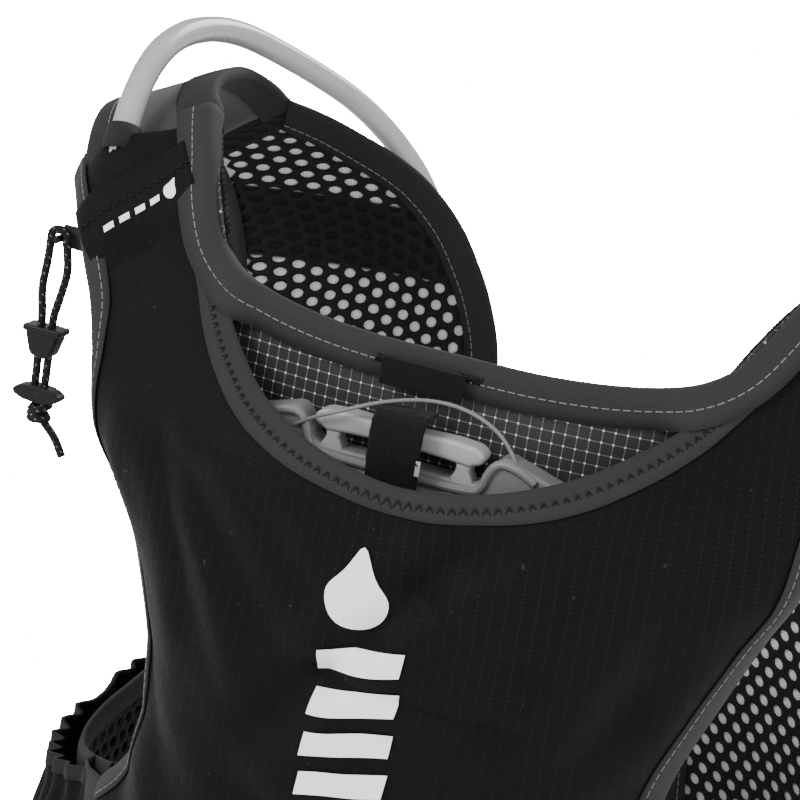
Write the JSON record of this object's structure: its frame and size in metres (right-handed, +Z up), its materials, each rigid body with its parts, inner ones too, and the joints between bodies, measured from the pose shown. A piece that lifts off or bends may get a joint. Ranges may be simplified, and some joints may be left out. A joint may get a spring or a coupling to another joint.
{
  "type": "hydration pack",
  "caption": "Worn-shape running hydration vest with rear reservoir pocket, slide-top reservoir, drinking hose with bite valve, chest pockets and sternum straps.",
  "frame": {"origin": "midway between the shoulder straps, at shoulder height, where the vest hangs on the wearer", "axes": "+Z up, +X to the wearer's right, +Y to the wearer's front"},
  "size_m": [0.3524, 0.2757, 0.3488],
  "materials": {
    "spacer_mesh": "knitted spacer mesh",
    "ripstop_liner": "coated ripstop with light grid",
    "stretch_shell": "matte stretch ripstop",
    "grey_binding": "woven stretch binding",
    "dark_binding": "smooth elastic binding",
    "strap_padding": "smooth stretch knit",
    "open_mesh": "open round-hole mesh",
    "reservoir_film": "translucent film",
    "slide_plastic": "moulded satin",
    "handle_plastic": "moulded satin",
    "port_plastic": "moulded satin",
    "seal_rubber": "smooth",
    "hose_film": "translucent soft tube",
    "elastic_keeper": "woven elastic",
    "valve_plastic": "moulded satin",
    "bite_silicone": "soft silicone",
    "hook_and_loop": "loop pile tape",
    "cord_cloth": "braided with light flecks",
    "black_plastic": "moulded satin",
    "webbing": "flat woven webbing"
  },
  "bodies": {
    "vest": {"back_panel": "spacer_mesh", "pocket_liner": "ripstop_liner", "pocket_shell": "stretch_shell", "hose_flap_left": "stretch_shell", "hose_flap_right": "stretch_shell", "flask_pocket_left": "stretch_shell", "flask_pocket_right": "stretch_shell", "chest_pocket_left": "stretch_shell", "chest_pocket_right": "stretch_shell", "side_pocket_left": "stretch_shell", "side_pocket_right": "stretch_shell", "mouth_binding": "grey_binding", "neck_binding": "grey_binding", "armhole_binding_left": "grey_binding", "armhole_binding_right": "grey_binding", "front_binding_left": "dark_binding", "front_binding_right": "dark_binding", "shoulder_strap_left": "strap_padding", "shoulder_strap_right": "strap_padding", "front_panel_left": "open_mesh", "front_panel_right": "open_mesh", "side_panel_left": "open_mesh", "side_panel_right": "open_mesh", "bladder": "reservoir_film", "hose_port": "port_plastic", "hose_elbow": "port_plastic", "port_seal": "seal_rubber", "hose": "hose_film", "hose_keeper_back": "elastic_keeper", "hose_keeper_front": "elastic_keeper", "bite_valve_body": "valve_plastic", "hanger_base": "hook_and_loop", "pole_tab": "webbing", "sternum_rail_left": "webbing", "sternum_rail_right": "webbing"},
    "port_button": {"port_button": "port_plastic"},
    "slide": {"slide_clamp": "slide_plastic", "slide_handle": "handle_plastic"},
    "hanger_flap": {"hanger_flap": "hook_and_loop"},
    "valve_shutoff": {"valve_shutoff": "valve_plastic", "bite_tip": "bite_silicone"},
    "pole_loop": {"pole_cord": "cord_cloth", "pole_cord_tail": "cord_cloth", "toggle_bar": "black_plastic"},
    "cord_lock": {"cord_lock": "black_plastic"},
    "upper_strap_left": {"rail_hook_upper_left": "black_plastic", "short_web_upper": "webbing", "female_buckle_upper": "black_plastic"},
    "upper_strap_right": {"rail_hook_upper_right": "black_plastic", "long_web_upper": "webbing"},
    "upper_male_buckle": {"male_buckle_upper": "black_plastic"},
    "lower_strap_left": {"rail_hook_lower_left": "black_plastic", "short_web_lower": "webbing", "female_buckle_lower": "black_plastic"},
    "lower_strap_right": {"rail_hook_lower_right": "black_plastic", "long_web_lower": "webbing"},
    "lower_male_buckle": {"male_buckle_lower": "black_plastic"}
  },
  "joints": [
    {"name": "slide_open", "type": "slide", "parent": "vest", "child": "slide", "axis": [1, 0, 0], "range_m": [0, 0.008]},
    {"name": "hanger_peel", "type": "hinge", "parent": "vest", "child": "hanger_flap", "pos_m": [0, -0.1063, -0.072], "axis": [-1, 0, 0], "range_deg": [0, 80]},
    {"name": "port_press", "type": "slide", "parent": "vest", "child": "port_button", "axis": [-1, 0, 0], "range_m": [0, 0.0018], "stiffness_N_per_m": 1500, "springref_m": -0.0005},
    {"name": "valve_twist", "type": "hinge", "parent": "vest", "child": "valve_shutoff", "pos_m": [-0.074, 0.1215, -0.15], "axis": [0, 0, 1], "range_deg": [0, 90]},
    {"name": "pole_loop_swing", "type": "hinge", "parent": "vest", "child": "pole_loop", "pos_m": [-0.1575, -0.0665, -0.0575], "axis": [0, 1, 0], "range_deg": [-35, 20]},
    {"name": "cord_lock_slide", "type": "slide", "parent": "pole_loop", "child": "cord_lock", "axis": [0, 0, 1], "range_m": [-0.008, 0.004]},
    {"name": "upper_height_left", "type": "slide", "parent": "vest", "child": "upper_strap_left", "axis": [0, 0, 1], "range_m": [-0.02, 0.02]},
    {"name": "upper_height_right", "type": "slide", "parent": "vest", "child": "upper_strap_right", "axis": [0, 0, 1], "range_m": [-0.02, 0.02]},
    {"name": "upper_buckle_release", "type": "slide", "parent": "upper_strap_right", "child": "upper_male_buckle", "axis": [1, 0, 0], "range_m": [0, 0.022], "deforming": ["long_web_upper"]},
    {"name": "lower_height_left", "type": "slide", "parent": "vest", "child": "lower_strap_left", "axis": [0, 0, 1], "range_m": [-0.02, 0.02]},
    {"name": "lower_height_right", "type": "slide", "parent": "vest", "child": "lower_strap_right", "axis": [0, 0, 1], "range_m": [-0.02, 0.02]},
    {"name": "lower_buckle_release", "type": "slide", "parent": "lower_strap_right", "child": "lower_male_buckle", "axis": [1, 0, 0], "range_m": [0, 0.022], "deforming": ["long_web_lower"]}
  ],
  "couplings": [
    {"joint": "upper_height_left", "follows": "upper_height_right", "ratio": 1},
    {"joint": "lower_height_left", "follows": "lower_height_right", "ratio": 1}
  ]
}
